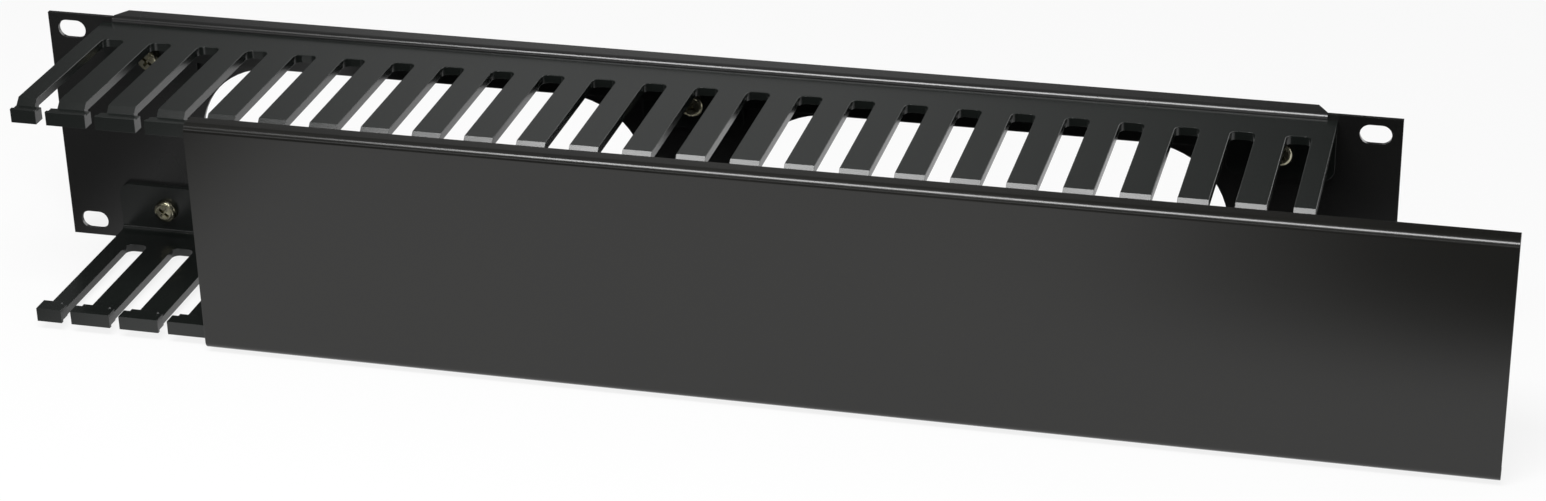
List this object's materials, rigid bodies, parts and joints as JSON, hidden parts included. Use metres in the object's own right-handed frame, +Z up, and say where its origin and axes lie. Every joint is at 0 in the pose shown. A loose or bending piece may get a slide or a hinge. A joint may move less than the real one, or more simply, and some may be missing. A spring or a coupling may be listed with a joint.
{
  "type": "horizontal cable manager",
  "caption": "Two-unit rack cable manager: a folded steel panel with slotted ears, slotted finger rails above and below, and a cover that slides off sideways.",
  "frame": {"origin": "centre of the ears' rear face, where the part meets the rack", "axes": "+X to the right along the panel, +Z up, +Y back into the rack; the cover is on the -Y side"},
  "size_m": [0.5243, 0.0879, 0.0882],
  "materials": {
    "powder_coated_steel": "fine textured black powder coat",
    "rail_plastic": "moulded black, satin, lighter along its edges",
    "cover_plastic": "extruded black, smooth satin",
    "plated_steel": "bright plated, faintly yellow"
  },
  "bodies": {
    "duct": {"back_panel": "powder_coated_steel", "upper_finger_rail": "rail_plastic", "lower_finger_rail": "rail_plastic", "upper_rail_screws": "plated_steel", "lower_rail_screws": "plated_steel", "upper_rail_washers": "plated_steel", "lower_rail_washers": "plated_steel", "upper_rail_nuts": "plated_steel", "lower_rail_nuts": "plated_steel"},
    "cover": {"front_cover": "cover_plastic"}
  },
  "joints": [
    {"name": "cover_slide", "type": "slide", "parent": "duct", "child": "cover", "axis": [1, 0, 0], "range_m": [-0.464, 0.336]}
  ]
}
